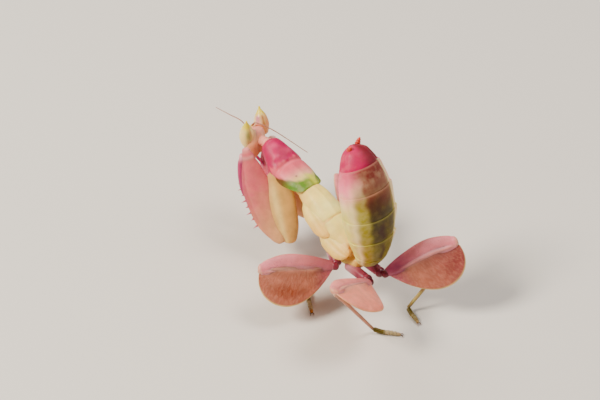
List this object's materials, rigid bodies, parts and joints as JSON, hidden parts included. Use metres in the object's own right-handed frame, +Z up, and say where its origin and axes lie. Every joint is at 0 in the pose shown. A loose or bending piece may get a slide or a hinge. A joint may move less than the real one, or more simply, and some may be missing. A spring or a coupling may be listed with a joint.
{
  "type": "orchid mantis model",
  "caption": "Life-size pink orchid mantis nymph on petal-shaped legs, fore legs folded and abdomen curled up over its back; a still display model.",
  "frame": {"origin": "on the floor, under the middle of the whole model's box", "axes": "+Z up; the mantis faces -Y, so +X is its left side"},
  "size_m": [0.0238, 0.0434, 0.0289],
  "materials": {
    "eye": "glossy compound eye, cream to yellow-green",
    "face": "satin orange-pink cuticle",
    "shield": "satin rose-pink cuticle with a green rear rim",
    "body": "satin cream-yellow cuticle",
    "belly": "glossy olive and pink cuticle",
    "tip": "glossy magenta-pink cuticle",
    "arm": "satin pink to tan cuticle",
    "petal": "satin pink and terracotta cuticle with a cream rim",
    "shin": "satin brown-pink cuticle",
    "foot": "matt olive cuticle"
  },
  "bodies": {
    "root": {"prothorax": "body", "mesothorax": "body", "metathorax": "body", "pronotum": "shield", "forewing_pad_left": "body", "hindwing_pad_left": "body", "forewing_pad_right": "body", "hindwing_pad_right": "body", "abdomen_1": "belly", "abdomen_2": "belly", "abdomen_3": "belly", "abdomen_4": "belly", "abdomen_5": "belly", "abdomen_6": "tip", "cercus_left": "tip", "cercus_right": "tip", "head": "face", "eye_left": "eye", "eye_right": "eye", "mouthparts": "face", "neck": "body", "antenna_left": "shin", "antenna_right": "shin", "fore_coxa_left": "arm", "fore_femur_left": "arm", "fore_tibia_left": "tip", "fore_tarsus_left": "arm", "fore_coxa_right": "arm", "fore_femur_right": "arm", "fore_tibia_right": "tip", "fore_tarsus_right": "arm", "mid_left_coxa": "shin", "mid_left_femur": "petal", "mid_left_tibia": "shin", "mid_left_tarsus": "foot", "mid_right_coxa": "shin", "mid_right_femur": "petal", "mid_right_tibia": "shin", "mid_right_tarsus": "foot", "hind_left_coxa": "shin", "hind_left_femur": "petal", "hind_left_tibia": "shin", "hind_left_tarsus": "foot", "hind_right_coxa": "shin", "hind_right_femur": "petal", "hind_right_tibia": "shin", "hind_right_tarsus": "foot"}
  },
  "joints": []
}
